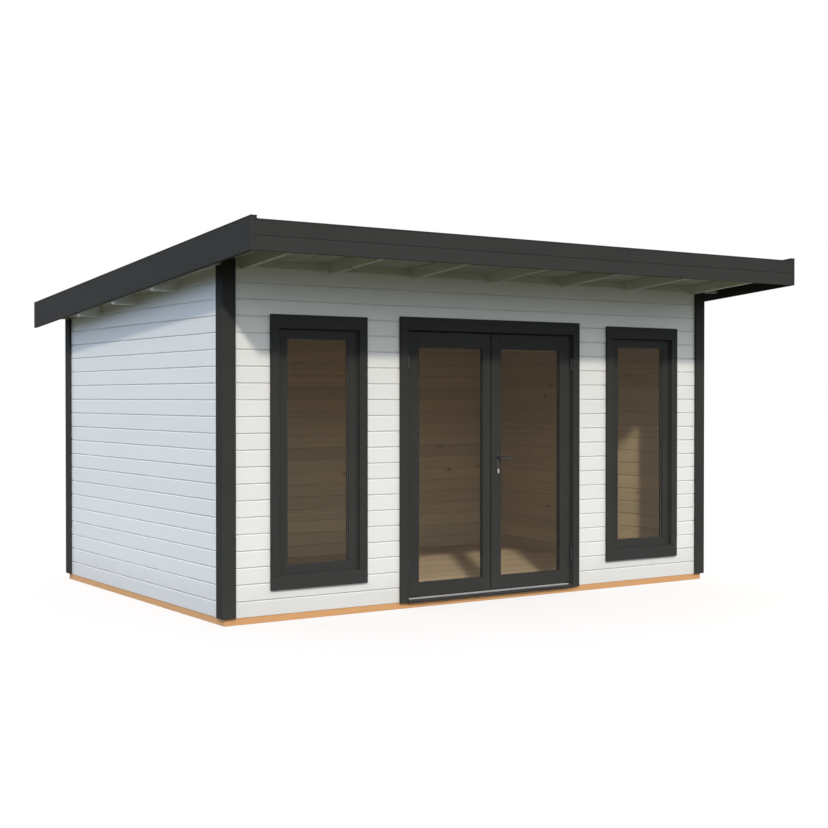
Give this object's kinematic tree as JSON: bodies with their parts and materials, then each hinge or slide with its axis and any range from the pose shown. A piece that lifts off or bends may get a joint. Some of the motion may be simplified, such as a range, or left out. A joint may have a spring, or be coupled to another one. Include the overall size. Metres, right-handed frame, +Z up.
{
  "type": "garden cabin",
  "caption": "Timber garden cabin with a single-slope roof, a deep front overhang, a glazed double door and tall fixed windows on either side.",
  "frame": {"origin": "middle of the footprint, on the ground", "axes": "+X to the right along the front, +Y to the back, +Z up"},
  "size_m": [4.936, 4.073, 2.6839],
  "materials": {
    "wall_boards": "white painted tongue-and-groove boards, bare inside",
    "eave_timber": "off-white painted timber",
    "natural_timber": "bare treated pine",
    "dark_trim": "anthracite painted timber, satin",
    "inner_trim": "bare pine",
    "roof_sheet": "matt black roofing sheet",
    "glass": "clear",
    "bright_strip": "mill finish",
    "black_metal": "black, satin",
    "cylinder_metal": "satin nickel"
  },
  "bodies": {
    "cabin": {"base_long_beams": "natural_timber", "base_cross_beams": "natural_timber", "floor_boards": "natural_timber", "front_wall_left": "wall_boards", "front_wall_right": "wall_boards", "front_wall_over_door": "wall_boards", "left_wall": "wall_boards", "right_wall": "wall_boards", "back_wall": "wall_boards", "front_corner_posts": "dark_trim", "back_corner_posts": "dark_trim", "wall_plates": "eave_timber", "purlins": "eave_timber", "overhang_rafters": "eave_timber", "roof_boards": "eave_timber", "roof_felt": "roof_sheet", "roof_edge_battens": "dark_trim", "bargeboards": "dark_trim", "front_fascia": "dark_trim", "back_fascia": "dark_trim", "cap_slats": "dark_trim", "door_frame": "dark_trim", "door_stops": "dark_trim", "door_casing": "dark_trim", "door_inner_casing": "inner_trim", "door_threshold": "dark_trim", "threshold_strip": "bright_strip", "hinge_pins": "black_metal", "window_casings": "dark_trim", "window_linings": "dark_trim", "window_inner_casings": "inner_trim", "window_sashes": "dark_trim", "window_panes": "glass"},
    "door_left": {"door_left_stiles": "dark_trim", "door_left_rails": "dark_trim", "door_left_pane": "glass", "left_hinge_barrels": "black_metal"},
    "door_right": {"door_right_stiles": "dark_trim", "door_right_rails": "dark_trim", "door_right_pane": "glass", "right_hinge_barrels": "black_metal", "lock_plates": "black_metal", "lock_cylinder": "cylinder_metal"},
    "handle": {"door_handles": "black_metal"}
  },
  "joints": [
    {"name": "door_left_hinge", "type": "hinge", "parent": "cabin", "child": "door_left", "pos_m": [-0.7575, -1.5125, 1.05], "axis": [0, 0, -1], "range_deg": [0, 110]},
    {"name": "door_right_hinge", "type": "hinge", "parent": "cabin", "child": "door_right", "pos_m": [0.8005, -1.5125, 1.05], "axis": [0, 0, 1], "range_deg": [0, 110]},
    {"name": "handle_turn", "type": "hinge", "parent": "door_right", "child": "handle", "pos_m": [0.08, -1.497, 1.091], "axis": [0, 1, 0], "range_deg": [0, 45], "stiffness_Nm_per_rad": 1.2}
  ]
}
